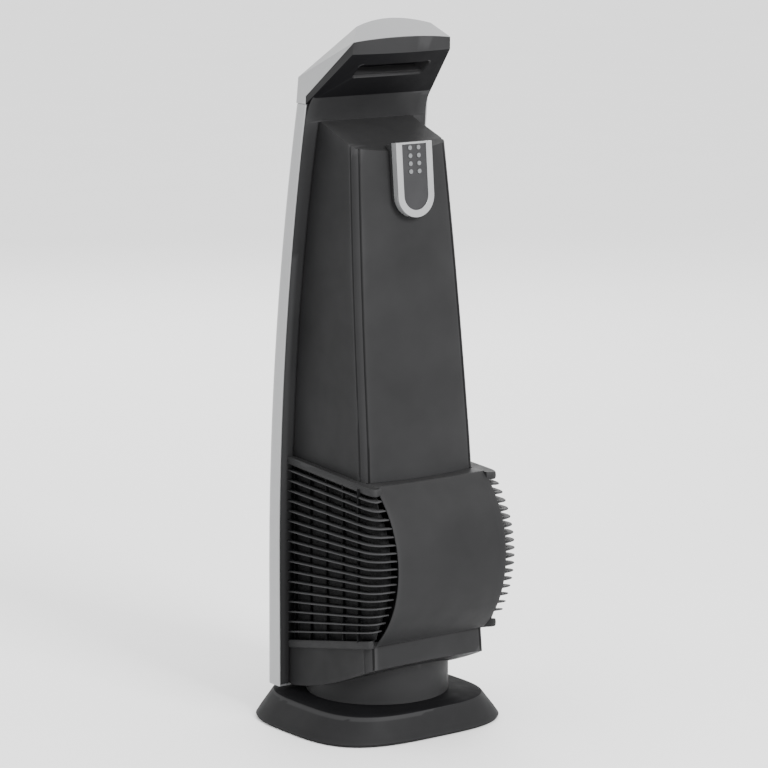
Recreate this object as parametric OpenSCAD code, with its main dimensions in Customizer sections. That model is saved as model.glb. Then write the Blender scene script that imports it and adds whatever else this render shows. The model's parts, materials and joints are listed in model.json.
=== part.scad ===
// Tower air cleaner: a tall blower tower that swings on a low base.
// Millimetres, +Z up. The origin is the centre of the base on the floor.
// The outlet faces -Y, the blower drum and the docked remote face +Y.

/* [Base] */
// Width of the base at the floor
base_w = 284; // [260:1:300]
// Depth of the base at the floor
base_d = 258; // [240:1:280]
// Width of the ridge around the top of the base
ridge_w = 239; // [232:1:250]
// Depth of the ridge around the top of the base
ridge_d = 232; // [228:1:240]
// Height of the ridge
ridge_h = 34; // [32:1:35]
// Wall thickness of the base and its cover
base_wall = 3; // [2:0.5:4]
// Radius of the swivel collar that shows above the base
collar_r = 91; // [88:0.5:92]

/* [Tower] */
// Half width of the tower near the floor
shell_half = 110; // [108:1:114]
// How much each side draws in by the shoulder
side_taper = 15; // [10:1:16]
// Height of the tower's lower edge
shell_bottom = 42; // [42:0.5:44]
// Height of the seam under the hood
seam_z = 790; // [786:1:792]
// Y of the rear rim near the floor
rim_y0 = -61; // [-64:1:-58]
// How far the rear rim leans back by the shoulder
rim_lean = 41; // [36:1:42]
// Wall thickness of the tower shells
wall = 2.5; // [2:0.1:3]

/* [Blower drum and intakes] */
// Y of the drum's centre
drum_y = 26.3; // [25:0.1:27]
// Height of the drum's centre
drum_z = 227.7; // [226:0.1:229]
// Radius of the drum cover
drum_r = 132; // [131:0.5:133]
// Number of slats in each side intake
slats = 17; // [14:1:20]
// Thickness of a slat
slat_t = 2; // [1.4:0.1:2.4]
// Depth of a slat
slat_depth = 12; // [9:0.5:13]

/* [Blower] */
// Outer radius of the blower wheel
wheel_r = 70; // [64:0.5:72]
// Half width of the blower wheel
wheel_half = 54; // [45:1:56]
// Number of blades
blades = 28; // [20:1:32]
// Radius of the motor shaft
shaft_r = 4; // [3:0.5:5]

/* [Swivel drive] */
// Gear module
gear_module = 1.5; // [1.5:0.1:1.6]
// Teeth of the fixed gear
gear_teeth = 56; // [56:4:60]
// Teeth of the pinion
pinion_teeth = 16; // [14:2:16]
// Radius of the pivot post
post_r = 14; // [12:0.5:15]

/* [Controls] */
// Width of the control panel
panel_w = 76; // [70:1:78]
// Length of the control panel along its slope
panel_l = 58; // [50:1:60]
// Radius of a panel button
button_r = 4.6; // [4:0.1:5]
// How far a panel button stands out
button_out = 1.5; // [1.3:0.1:2]

/* [Remote control] */
// Width of the remote
remote_w = 55; // [50:0.5:56]
// Length of the remote
remote_l = 93; // [90:0.5:95]
// Thickness of the remote
remote_t = 10; // [9.5:0.1:10.5]
// Width of the remote's silver rim
remote_rim = 9; // [8:0.5:10]
// Radius of a remote key
key_r = 2.8; // [2.2:0.1:3]

/* [Hidden] */
$fn = 64;

fit = 0.3;            // gap between pieces that do not hold each other
run = 0.05;           // radial gap of a running fit
arc = [for (i = [-6:6]) i / 6];   // stations across a crowned face
far = 400;            // reach of a cutting body

charcoal = [0.20, 0.20, 0.21];
dark = [0.13, 0.13, 0.14];
silver = [0.72, 0.73, 0.74];
steel = [0.6, 0.6, 0.62];
amber = [0.85, 0.8, 0.7];

// ---- outlines of the tower ----

// Half width of the tower, the Y of its rear rim and the Y of its front corner at a height
function half_at(z) = shell_half - side_taper * pow(max(0, (z - 200) / 590), 1.5);
function rim_at(z) = rim_y0 + rim_lean * pow(max(0, (z - 250) / 540), 2);
function front_at(z) = rim_at(z) - 24 + 4 * (z - 200) / 590;

// Half width and rear corner Y of the column behind the rim
function column_x(z) = 92 - 0.0235 * (z - 80) - 0.000055 * pow(max(0, z - 450), 2);
function column_y(z) = 105.4 - 0.073 * (z - 94) - 0.0266 * max(0, z - 373);
column_bulge = 10;
roof_back_z = 739;
roof_front_z = 767;
roof_run = 73;
roof_slope = (roof_front_z - roof_back_z) / roof_run;

// Lower edge of the column, which sweeps up to the rear
function underside_z(y) = shell_bottom + 1 + 48 * pow(max(0, (y + 64) / 163), 1.5);

shell_levels = [for (i = [0:18]) shell_bottom + (seam_z - shell_bottom) * i / 18];
column_levels = [for (i = [0:14]) 40 + 680 * i / 14];

// Outline of the front shell at a height, drawn in by g, with its rear edge at +back
function front_ring(z, g, back) =
  let (b = half_at(z) - g, y0 = front_at(z) + g, y1 = rim_at(z) + back)
  concat([[b, y1, z], [-b, y1, z], [-b, y0, z]],
         [for (t = arc) [t * (b - 5), y0 - 4 - 7 * (1 - t * t), z]],
         [[b, y0, z]]);

// Outline of the column at a height, drawn in by g, with its front edge at -ahead
function column_ring(z, g, ahead) =
  let (x = column_x(z) - g, y = column_y(z) - g, y0 = rim_at(z) - ahead)
  concat([[-x, y0, z], [x, y0, z], [x, y - 7, z], [x - 2, y - 2, z]],
         [for (i = [6:-1:-6]) let (t = i / 6)
           [t * (x - 8), y + 2 + column_bulge * (1 - t * t), z]],
         [[2 - x, y - 2, z], [-x, y - 7, z]]);

// The same outline laid on the sloping roof, lowered by g
function roof_ring(g, ahead) =
  [for (p = column_ring(roof_back_z, g, ahead))
    [p.x, p.y, roof_front_z - 1.3 * g - (p.y + 24) * roof_slope]];

// ---- shape helpers ----

// Closed solid through rings of equal length, each counter-clockwise from above
module loft(rings) {
  n = len(rings[0]);
  top = (len(rings) - 1) * n;
  polyhedron(
    points = [for (r = rings) each r],
    faces = concat(
      [[for (i = [0:n - 1]) i]],
      [[for (i = [n - 1:-1:0]) top + i]],
      [for (k = [0:len(rings) - 2], i = [0:n - 1])
        let (a = k * n + i, b = k * n + (i + 1) % n) each [[a, a + n, b + n], [a, b + n, b]]]));
}

// One watertight mesh from faceted children
module one_mesh() resize([0, 0, 0]) children();

// Convex solid around a list of points
module around(points) hull() polyhedron(points, [[for (i = [0:len(points) - 1]) i]]);

// Extrudes a (Y, Z) outline from x0 to x1
module along_x(x0, x1) translate([x0, 0, 0]) rotate([90, 0, 90]) linear_extrude(x1 - x0) children();

// Extrudes an (X, Z) outline from y0 to y1
module along_y(y0, y1) translate([0, y1, 0]) rotate([90, 0, 0]) linear_extrude(y1 - y0) children();

// Ring of rectangular section about Z
module washer(r0, r1, z0, z1) translate([0, 0, z0]) difference() {
  cylinder(r = r1, h = z1 - z0);
  translate([0, 0, -1]) cylinder(r = r0, h = z1 - z0 + 2);
}

module rod_x(r, x0, x1) translate([x0, 0, 0]) rotate([0, 90, 0]) cylinder(r = r, h = x1 - x0);

// Pan head screw with its head's underside at z = 0 and its shank down
module screw(r, length) {
  cylinder(r = r * 1.9, h = r * 1.2);
  translate([0, 0, -length]) cylinder(r = r, h = length + 0.1);
}

// ---- base ----

base_power = 3.3;
cover_z = 3;
cover_t = 2.5;
cover_top = cover_z + cover_t;
boss_top = 17;
deck_r = 80;
deck_h = 4;
gland_at = [0, 24, 13.5];
gland_r = 7;
gland_x = [-135.7, -112];
screw_spots = [[96, 74], [-96, 74], [96, -74], [-96, -74]];
foot_r = [94, 104];

// Rounded rectangular ring with half sizes hx and hy
function pad_ring(hx, hy, z) =
  [for (i = [0:63]) let (a = i * 360 / 64, c = cos(a), s = sin(a),
    k = pow(pow(abs(c), base_power) + pow(abs(s), base_power), -1 / base_power))
    [hx * c * k, hy * s * k, z]];

// Skirt of the base from the floor edge to its crown, drawn in by g
function base_rings(g) =
  [for (s = [[0, 0.99, 1], [0, 1, 4], [0.28, 1, 13], [0.66, 1, 24], [1, 1, ridge_h],
             [1.12, 1, ridge_h + 1], [2.35, 1, ridge_h + deck_h]])
    let (w = base_w + (ridge_w - base_w) * s[0], d = base_d + (ridge_d - base_d) * s[0])
    pad_ring(w * s[1] / 2 - g, d * s[1] / 2 - g, s[2] - (g > 0 ? (s[2] > 20 ? g : 2) : 0))];

module base_shell() color(charcoal) one_mesh() difference() {
  union() {
    difference() {
      loft(base_rings(0));
      loft(base_rings(base_wall));
    }
    for (p = screw_spots) translate([p.x, p.y, boss_top + 0.2]) cylinder(r = 5, h = 16);
  }
  for (p = screw_spots) translate([p.x, p.y, boss_top - 1]) cylinder(r = 2.2, h = 9);
  translate([0, 0, ridge_h - 10]) cylinder(r = deck_r, h = 30);
  translate(gland_at) rod_x(gland_r + fit, gland_x[0] - 10, gland_x[1] + 10);
}

module cover_outline(g) polygon([for (p = pad_ring(base_w / 2 - g, base_d / 2 - g, 0)) [p.x, p.y]]);

module base_bottom_cover() color(dark) difference() {
  union() {
    translate([0, 0, cover_z]) linear_extrude(cover_t) cover_outline(7);
    for (p = screw_spots) translate([p.x, p.y, cover_z]) cylinder(r = 6, h = boss_top - cover_z);
  }
  for (p = screw_spots) translate([p.x, p.y, 0]) {
    cylinder(r = 2.1, h = 40);
    cylinder(r = 4.4, h = cover_z + 5);
  }
}

module rubber_foot_ring() color(dark) washer(foot_r[0], foot_r[1], 0, cover_z);

module cord_gland() color(dark) translate(gland_at) difference() {
  union() {
    rod_x(gland_r, gland_x[0], gland_x[1]);
    rod_x(gland_r + 0.8, gland_x[1] - 4, gland_x[1]);
  }
  rod_x(3.7, gland_x[0] - 1, gland_x[1] + 1);
}

module base_screws() color(steel) for (p = screw_spots) {
  translate([p.x, p.y, cover_z + 5]) mirror([0, 0, 1]) screw(2, 12);
}

// ---- swivel ----

flange_top = cover_top + 3;
gear_h = 8;
gear_top = flange_top + gear_h;
washer_top = gear_top + 2;
turntable_z = ridge_h + deck_h + 0.8;
turntable_top = turntable_z + 2.8;
post_top = 50;
pitch_gear = gear_module * gear_teeth / 2;
pitch_pinion = gear_module * pinion_teeth / 2;
drive_y = pitch_gear + pitch_pinion;
hub_screw_spots = [for (a = [30, 150, 210, 330]) 66 * [cos(a), sin(a)]];

module pivot_post() color(steel) difference() {
  union() {
    translate([0, 0, cover_top]) cylinder(r = 30, h = flange_top - cover_top);
    translate([0, 0, cover_top]) cylinder(r = post_r, h = post_top - cover_top);
  }
  translate([0, 0, cover_top - 1]) cylinder(r = 8, h = post_top);
}

function involute(a) = tan(a) * 180 / PI - a;
function half_tooth(r, rb, teeth, rp) =
  90 / teeth - 0.12 / rp * 180 / PI + involute(20) - involute(acos(min(1, rb / r)));
function on_circle(r, a) = r * [cos(a), sin(a)];

// Involute spur gear outline with a tooth centred on angle 0
module gear_outline(teeth) {
  rp = gear_module * teeth / 2;
  rb = rp * cos(20);
  rf = rp - 1.25 * gear_module;
  ra = rp + gear_module;
  low = max(rb, rf);
  flank = [for (i = [0:4]) low + (ra - low) * i / 4];
  polygon([for (t = [0:teeth - 1]) let (c = t * 360 / teeth) each concat(
    rf < rb ? [on_circle(rf, c - half_tooth(low, rb, teeth, rp))] : [],
    [for (r = flank) on_circle(r, c - half_tooth(r, rb, teeth, rp))],
    [for (i = [4:-1:0]) on_circle(flank[i], c + half_tooth(flank[i], rb, teeth, rp))],
    rf < rb ? [on_circle(rf, c + half_tooth(low, rb, teeth, rp))] : [])]);
}

module fixed_gear() color(amber) translate([0, 0, flange_top]) difference() {
  linear_extrude(gear_h) gear_outline(gear_teeth);
  translate([0, 0, -1]) cylinder(r = post_r, h = gear_h + 2);
}

module thrust_washer() color(steel) washer(post_r + 0.2, 24, gear_top, washer_top);

module pivot_nut() color(steel) washer(post_r, 20, turntable_top + 0.4, post_top - 1);

module oscillation_pinion() color(amber) translate([0, drive_y, 0]) {
  translate([0, 0, flange_top + 0.5]) rotate(180 / pinion_teeth)
    linear_extrude(gear_h - 1) gear_outline(pinion_teeth);
  translate([0, 0, flange_top + 1]) cylinder(r = 3, h = turntable_top + 6 - flange_top);
}

// Region below the column's swept lower edge, moved down by g
module under_column(g) along_x(-far, far) polygon(concat(
  [[-far, -10], [-far, shell_bottom - g], [rim_y0 + g, shell_bottom - g]],
  [for (i = [0:16]) let (y = rim_y0 + g + 197 * i / 16) [y, underside_z(y) - g]],
  [[136, -10]]));

module swivel_hub() color(charcoal) difference() {
  union() {
    intersection() {
      washer(collar_r - 3, collar_r, turntable_z, 110);
      under_column(0.2);
    }
    translate([0, 0, turntable_z]) cylinder(r = collar_r - 1, h = turntable_top - turntable_z);
    translate([0, 0, washer_top + 0.1]) cylinder(r = 22, h = turntable_top - washer_top - 0.1);
  }
  translate([0, 0, washer_top - 1]) cylinder(r = post_r + run, h = 60);
  translate([0, drive_y, turntable_z - 1]) cylinder(r = 4, h = 6);
  for (p = hub_screw_spots) translate([p.x, p.y, turntable_z - 1]) cylinder(r = 2.2, h = 6);
}

module oscillation_motor() color(steel) translate([0, drive_y, turntable_top]) difference() {
  cylinder(r = 19, h = 17);
  translate([0, 0, -1]) cylinder(r = 3 + run, h = 10);
}

module hub_screws() color(steel) for (p = hub_screw_spots) {
  translate([p.x, p.y, turntable_z]) mirror([0, 0, 1]) screw(2, turntable_top - turntable_z);
}

// ---- rear housing ----

cover_low = 127;
cover_high = 329;
intake_low = cover_low - fit;
intake_high = cover_high + fit;

module inside_column() difference() {
  loft(concat([for (z = column_levels) column_ring(z, wall, 12)], [roof_ring(wall, 12)]));
  translate([0, 0, wall]) under_column(0);
}

module rear_housing() color(charcoal) one_mesh() difference() {
  union() {
    loft([for (z = shell_levels) let (b = half_at(z) - wall - 0.1, y = rim_at(z))
      [[-b, y - 3, z], [b, y - 3, z], [b, y, z], [-b, y, z]]]);
    loft(concat([for (z = column_levels) column_ring(z, 0, 2)], [roof_ring(0, 2)]));
  }
  inside_column();
  under_column(0);
  translate([-far, rim_y0 + 0.01, intake_low]) cube([2 * far, far, intake_high - intake_low]);
  translate([0, 0, shell_bottom - 4]) cylinder(r = 24, h = 30);
  translate([-far, rim_y0 - 4, 0]) cube([2 * far, 4, shell_bottom + wall + fit]);
  on_rear() dock_block(fit);
}

// ---- front shell ----

outlet_margin = 30;
outlet_low = 78;
outlet_high = 768;

// Prism of the tall front outlet, drawn in by g
module outlet_hole(g) loft([for (z = [outlet_low + g, 250, 420, 580, outlet_high - g])
  let (b = half_at(z) - outlet_margin - g, y = front_at(z))
  [[-b, y - 30, z], [b, y - 30, z], [b, y + 14, z], [-b, y + 14, z]]]);

module front_bezel() color(silver) one_mesh() difference() {
  loft([for (z = shell_levels) front_ring(z, 0, 0)]);
  difference() {
    loft([for (z = concat(shell_levels, [seam_z + 2])) front_ring(z, wall, 2)]);
    translate([-far, -far, 0]) cube([2 * far, 2 * far, shell_bottom + wall]);
  }
  outlet_hole(0);
}

vanes = 11;
cross_bars = 9;

// Y of the bowed front face at a height and distance from the centre
function face_y(z, x) = front_at(z) - 4 - 7 * (1 - pow(x / (half_at(z) - 5), 2));

grille_levels = [for (i = [0:9]) outlet_low - 2 + (outlet_high - outlet_low + 4) * i / 9];

module front_grille() color(dark) one_mesh() intersection() {
  outlet_hole(fit);
  union() {
    for (i = [0:vanes + 1]) {
      t = -1 + 2 * i / (vanes + 1);
      w = abs(t) == 1 ? 7 : 1;
      loft([for (z = grille_levels) let (x = t * (half_at(z) - outlet_margin), y = face_y(z, x))
        [[x - w, y + 3, z], [x + w, y + 3, z], [x + w, y + 13, z], [x - w, y + 13, z]]]);
    }
    for (i = [0:cross_bars]) {
      z = outlet_low + (outlet_high - outlet_low - 3) * i / cross_bars;
      x = half_at(z) - outlet_margin;
      translate([0, 0, z]) linear_extrude(3)
        polygon([[-x, face_y(z, x) + 7], [x, face_y(z, x) + 7], [x, face_y(z, x) + 11],
                 [-x, face_y(z, x) + 11]]);
    }
  }
}

duct_levels = [[337, 64, -52, 28], [735, 48, -30, -12]];

module air_duct() color(dark) difference() {
  hull() for (s = duct_levels) translate([-s[1], s[2], s[0]]) cube([2 * s[1], s[3] - s[2], 1]);
  hull() for (s = duct_levels) translate([2 - s[1], s[2] - 9, s[0] - 1])
    cube([2 * s[1] - 4, s[3] - s[2] + 7, 3]);
}

// ---- hood ----

// Foot of the parting line between the silver cap and the dark liner
parting = [-19.5, 800];

// Points of the hood, drawn in by g
function hood_points(g) = concat(
  [for (t = arc) let (c = 1 - t * t) [(57 - g) * t, 34.5 - 8 * c - 0.2 * g, 887 + 8 * c - 1.2 * g]],
  [for (t = arc) let (c = 1 - t * t) [(74 - g) * t, 52.5 + 6 * c - 1.2 * g, 870 + 3 * c - 0.6 * g]],
  [for (t = arc) let (c = 1 - t * t) [(75 - g) * t, 51 + 6 * c - 1.2 * g, 854.5 - 0.5 * c + g]],
  [for (t = arc) let (c = 1 - t * t) [(93 - g) * t, -38.5 - 11.5 * c + g, 822 - c - 0.3 * g]],
  [for (t = arc) let (c = 1 - t * t) [(95 - g) * t, -40 - 11 * c + g, seam_z - g]],
  [for (s = [-1, 1]) [s * (95 - g), parting[0] - g, parting[1] + 0.4 * g]],
  [for (s = [-1, 1]) [s * (95 - g), rim_at(seam_z) - g, seam_z - g]]);

// Region taken by the silver cap: in front of the rim line and above the slanted parting line
module cap_region() along_x(-far, far) polygon(
  [[-90, seam_z - 1], [rim_at(seam_z), seam_z - 1], [rim_at(seam_z), seam_z], parting,
   parting + [71.5, 69], parting + [89.5, 86.4], [70, 930], [-90, 930]]);

// Fillet that carries the neck up into the hood's underside
fillet_low = 774;

module neck_fillet() intersection() {
  along_x(-91, 91) polygon(concat(
    [for (i = [0:8]) bezier([rim_at(fillet_low) + 0.6, fillet_low], parting + [-0.3, -1], [16, 825.5], i / 8)],
    [[16, 830], parting + [0.3, 0]],
    [for (z = [seam_z:-4:fillet_low]) [rim_at(z) + fit, z]]));
  linear_extrude(3 * far) polygon([[-91, -30], [91, -30], [91, -14], [83, 16], [-83, 16], [-91, -14]]);
}

module on_panel() translate([0, -8, 855.5]) rotate([43.5, 0, 0]) children();
module on_grip() translate([0, 28, 832.7]) rotate([38.9, 0, 0]) children();

grip_w = 108;
grip_l = 27;
grip_depth = 14;

module hood_cap() color(silver) one_mesh() difference() {
  intersection() {
    difference() {
      around(hood_points(0));
      around(hood_points(wall));
    }
    cap_region();
  }
  on_panel() translate([-panel_w / 2 - fit, -panel_l / 2 - fit, -12])
    cube([panel_w + 2 * fit, panel_l + 2 * fit, 60]);
}

module grip_box(g) on_grip() translate([-grip_w / 2 - g, -grip_l / 2 - g, -6])
  cube([grip_w + 2 * g, grip_l + 2 * g, 6 + grip_depth + g]);

module hood_liner() color(charcoal) difference() {
  union() {
    difference() {
      union() {
        around(hood_points(0));
        neck_fillet();
      }
      difference() {
        around(hood_points(wall));
        grip_box(2);
      }
      cap_region();
    }
    intersection() {
      grip_box(1.9);
      around(hood_points(wall + fit));
    }
  }
  grip_box(0);
}

// ---- controls ----

button_x = [-28, -14, 0, 14, 28];
button_y = -14;
window_w = 46;
window_l = 17;
window_y = 11;
panel_t = 2.5;
board_drop = 8;

module control_panel() color(dark) on_panel() difference() {
  union() {
    translate([-panel_w / 2, -panel_l / 2, -panel_t]) cube([panel_w, panel_l, panel_t]);
    for (x = [-1, 1], y = [-1, 1]) translate([x * 34, y * 24, -board_drop]) cylinder(r = 2.5, h = board_drop);
  }
  for (x = button_x) translate([x, button_y, -5]) cylinder(r = button_r + fit, h = 9);
  translate([-window_w / 2, window_y - window_l / 2, -5]) cube([window_w, window_l, 9]);
}

module display_window() color([0.05, 0.06, 0.08]) on_panel()
  translate([0.1 - window_w / 2, window_y - window_l / 2 + 0.1, -panel_t])
  cube([window_w - 0.2, window_l - 0.2, panel_t + 0.3]);

module control_board() color([0.1, 0.35, 0.2]) on_panel() {
  translate([-37, -27, -board_drop - 1.6]) cube([74, 54, 1.6]);
  for (x = button_x) translate([x - 2.5, button_y - 2.5, -board_drop - 0.1]) cube([5, 5, 1.6]);
  translate([-20, 4, -board_drop - 0.1]) cube([40, 14, 4]);
}

module panel_button(n) color(silver) on_panel() translate([button_x[n - 1], button_y, 0]) {
  translate([0, 0, -4.4]) cylinder(r = button_r, h = 4.4 + button_out);
  translate([0, 0, -4.4]) cylinder(r = button_r + 1.2, h = 4.4 - panel_t - fit);
}

// ---- drum cover and intakes ----

// The cover's side edge: half width at a height
function cover_half(z) = 84 + 1.5 * pow((z - drum_z) / 100, 2);

cover_reach = 88;
lid_y = 88;

// Round body of the drum, slightly barrel shaped, drawn in by g
module drum_form(g) translate([0, drum_y, drum_z]) rotate([0, 90, 0]) rotate_extrude($fn = 96)
  polygon(concat([for (t = arc) [drum_r - g + 3 * (1 - t * t), t * cover_reach]],
                 [[0, cover_reach], [0, -cover_reach]]));

// Curved cover with a lid that closes it against the column
module blower_cover() color(charcoal) one_mesh() intersection() {
  difference() {
    drum_form(0);
    difference() {
      drum_form(wall);
      translate([-far, 0, cover_high - wall]) cube([2 * far, far, far]);
    }
  }
  along_y(lid_y, drum_y + drum_r + 10) polygon(concat(
    [for (i = [0:12]) let (z = cover_low + (cover_high - cover_low) * i / 12) [cover_half(z), z]],
    [for (i = [12:-1:0]) let (z = cover_low + (cover_high - cover_low) * i / 12) [-cover_half(z), z]]));
}

// Room for the cover's lid, with its gap
module lid_space() translate([-far, lid_y - fit, cover_high - wall - fit])
  cube([far + cover_half(cover_high) + fit, far, far]);

slat_front_z = [111.7, 322.5];
slat_back_z = [147.5, 312.6];
bar_depth = 30;
intake_y0 = rim_y0 + 1.2;

// Bend of an intake at a height: its X and Y
function bend_x(z) = 115.6 - 13.5 * pow((z - 218) / 92, 2);
function bend_y(z) = 147.1 - 15.9 * pow((z - 218) / 92, 2);
function drum_edge_y(z) = drum_y + sqrt(pow(drum_r, 2) - pow(z - drum_z, 2));

function sum_half(v) = (v[0] + v[1]) / 2;
function bezier(a, b, c, t) = a * (1 - t) * (1 - t) + 2 * b * t * (1 - t) + c * t * t;

// Plan path of an intake at its rear height z, drawn in by g
function intake_path(z, g) =
  let (a = [97 - g, intake_y0], b = [bend_x(z) - g, bend_y(z) - g * 0.6],
       c = [cover_half(z) + 1, drum_edge_y(z) - 1 - g],
       p = b + (a - b) * 0.12, q = b + (c - b) * 0.6)
  concat([a], [for (i = [0:4]) bezier(p, b, q, i / 4)], [c]);

function reversed(v) = [for (i = [len(v) - 1:-1:0]) v[i]];

// Level strip of the intake, turned about its front end to the slat's slope
module slat(z0, z1, g0, g1, t) {
  translate([0, intake_y0, z0]) rotate([atan((z1 - z0) / 177), 0, 0]) translate([0, -intake_y0, 0])
    linear_extrude(t) polygon(concat(intake_path(z1, g0), reversed(intake_path(z1, g1))));
}

rib_spots = [[86.5, -59], [89, -22], [92.5, 18], [96, 58], [99, 94]];

// The column's walls above and below the intakes, grown outward by g
module column_walls(g) difference() {
  loft([for (z = column_levels) column_ring(z, -g, 2)]);
  translate([-far, -far, intake_low + g]) cube([2 * far, 2 * far, intake_high - intake_low - 2 * g]);
}

module intake_grille() one_mesh() difference() {
  union() {
    slat(92, 127, 0, bar_depth, 10);
    slat(331.5, 319.3, 0, bar_depth, 9.5);
    for (i = [0:slats - 1]) {
      k = i / (slats - 1);
      slat(slat_front_z[0] + k * (slat_front_z[1] - slat_front_z[0]),
           slat_back_z[0] + k * (slat_back_z[1] - slat_back_z[0]), 0, slat_depth, slat_t);
    }
    for (s = rib_spots) {
      low = 97 + (s[1] - rim_y0) * 0.198;
      high = 336 - (s[1] - rim_y0) * 0.069;
      translate([s[0] - 3, s[1], low]) cube([4, 3, high - low]);
    }
  }
  column_walls(0.15);
  lid_space();
}

module left_intake_grille() color(dark) intake_grille();
module right_intake_grille() color(dark) mirror([1, 0, 0]) intake_grille();

filter_y = [-50, 84];
filter_z = [134, 302];
filter_x = 76;
filter_t = 4;

module filter_frame() difference() {
  translate([filter_x, filter_y[0], filter_z[0]])
    cube([filter_t, filter_y[1] - filter_y[0], filter_z[1] - filter_z[0]]);
  for (i = [0:7], k = [0:9]) translate([filter_x - 1, filter_y[0] + 5 + i * 15.7, filter_z[0] + 5 + k * 16])
    cube([filter_t + 2, 13.5, 13.8]);
}

module filter_media() translate([filter_x - 3.2, filter_y[0] + 1, filter_z[0] + 1])
  cube([3, filter_y[1] - filter_y[0] - 2, filter_z[1] - filter_z[0] - 2]);

module left_filter_frame() color(charcoal) filter_frame();
module right_filter_frame() color(charcoal) mirror([1, 0, 0]) filter_frame();
module left_filter_media() color([0.85, 0.86, 0.84]) filter_media();
module right_filter_media() color([0.85, 0.86, 0.84]) mirror([1, 0, 0]) filter_media();

// ---- blower ----

wheel_y = 15;
wheel_z = 217;
scroll_half = 62;
scroll_t = 2;
inlet_r = 57;

module at_wheel() translate([0, wheel_y, wheel_z]) children();

scroll_r = [84, 116];
outlet_y = -66;

// Spiral of the scroll, grown outward by g, running out to the upper front by reach
module scroll_outline(g, reach) polygon(concat(
  [for (i = [0:40]) on_circle(bezier(scroll_r[0], sum_half(scroll_r), scroll_r[1], i / 40) + g,
                              140 + 310 * i / 40)],
  [[outlet_y - reach, scroll_r[1] + g],
   [outlet_y - reach, (scroll_r[0] + g) * sin(140) + 0.2]]));

module scroll_housing() color(dark) at_wheel() {
  along_x(-scroll_half, scroll_half) difference() {
    scroll_outline(scroll_t, 0);
    scroll_outline(0, 5);
  }
  for (x = [-scroll_half, scroll_half - scroll_t]) along_x(x, x + scroll_t) difference() {
    scroll_outline(scroll_t - 0.01, -0.01);
    circle(r = inlet_r);
  }
}

module inlet_ring() at_wheel() rotate([0, 90, 0]) rotate_extrude()
  polygon([[inlet_r - 2, scroll_half - 5], [inlet_r - 0.1, scroll_half - 5], [inlet_r - 0.1, scroll_half],
           [inlet_r + 8, scroll_half], [inlet_r + 8, scroll_half + 2], [inlet_r + 1, scroll_half + 2],
           [inlet_r - 2, scroll_half - 1]]);

module left_inlet_ring() color(charcoal) inlet_ring();
module right_inlet_ring() color(charcoal) mirror([1, 0, 0]) inlet_ring();

motor_r = 33;
motor_x = [14, 66];
bearing_r = 11;
bearing_w = 7;

module motor_body() color(steel) at_wheel() difference() {
  rod_x(motor_r, motor_x[0], motor_x[1]);
  rod_x(shaft_r + 1.5, motor_x[0] - 1, motor_x[1] + 1);
  rod_x(bearing_r, motor_x[0] - 1, motor_x[0] + bearing_w);
  rod_x(bearing_r, motor_x[1] - bearing_w, motor_x[1] + 1);
}

module motor_bearings() color(silver) at_wheel() for (x = [motor_x[0], motor_x[1] - bearing_w])
  difference() {
    rod_x(bearing_r, x, x + bearing_w);
    rod_x(shaft_r + run, x - 1, x + bearing_w + 1);
  }

bracket_angles = [90, 210, 330];
bracket_x = [66, 69];
bracket_r = 70;

module motor_bracket() color(steel) at_wheel() difference() {
  union() {
    rod_x(motor_r, bracket_x[0], bracket_x[1]);
    for (a = bracket_angles) rotate([a, 0, 0])
      translate([bracket_x[0], -7, 0]) cube([bracket_x[1] - bracket_x[0], 14, bracket_r + 4]);
    for (a = bracket_angles) rotate([a, 0, 0]) translate([0, 0, bracket_r])
      rod_x(4, scroll_half, bracket_x[0] + 1);
  }
  rod_x(shaft_r + 2, 0, 90);
  for (a = bracket_angles) rotate([a, 0, 0]) translate([0, 0, bracket_r]) rod_x(1.6, 60, 75);
}

module bracket_screws() color(silver) at_wheel() for (a = bracket_angles)
  rotate([a, 0, 0]) translate([bracket_x[1], 0, bracket_r]) rotate([0, 90, 0]) screw(1.5, 6.5);

module motor_shaft() color(silver) at_wheel() rod_x(shaft_r, -22, 68);

// Forward curved blade in the (Y, Z) plane, centred on angle 0
module blade_outline() {
  r0 = wheel_r - 12;
  polygon(concat(
    [for (i = [0:4]) let (k = i / 4) on_circle(r0 + 11.5 * k, 9 * k * k)],
    [for (i = [4:-1:0]) let (k = i / 4) on_circle(r0 + 11.5 * k, 9 * k * k + 1.4)]));
}

module impeller() color(dark) at_wheel() difference() {
  union() {
    rod_x(wheel_r - 6, -1.5, 1.5);
    rod_x(13, -14, 8);
    along_x(-wheel_half, wheel_half) for (i = [0:blades - 1]) rotate(i * 360 / blades) blade_outline();
    for (x = [-wheel_half, -1.5, wheel_half - 3]) difference() {
      rod_x(wheel_r, x, x + 3);
      rod_x(wheel_r - 9, x - 1, x + 4);
    }
  }
  rod_x(shaft_r, -20, 20);
}

module capacitor() color(silver) translate([58, 52, 360]) difference() {
  cylinder(r = 13, h = 46);
  translate([0, 0, 45]) cylinder(r = 9, h = 2);
}

module power_board() color([0.1, 0.35, 0.2]) {
  translate([-45, 58, 352]) cube([86, 1.6, 110]);
  translate([-38, 40, 362]) cube([34, 18.1, 30]);
  translate([2, 46, 372]) cube([22, 12.1, 16]);
  translate([-32, 44, 420]) rotate([-90, 0, 0]) cylinder(r = 6, h = 14.1);
}

// ---- remote control and its dock ----

remote_at = [0, 80, 699.5];
top_rim = 2.5;
dock_t = 9.2;
rail_low = -34;
rail_high = 30;

// Local frame on the column's sloping rear: +Y out of the remote's face, +Z up its slope
module on_rear() translate(remote_at) rotate([4.8, 0, 0]) children();

// U outline, flat at the top and round at the bottom, drawn in by g
module u_outline(g) {
  r = remote_w / 2 - g;
  translate([0, remote_w / 2 - remote_l / 2]) circle(r = r);
  translate([-r, remote_w / 2 - remote_l / 2]) square([2 * r, remote_l - remote_w / 2 - g]);
}

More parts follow.
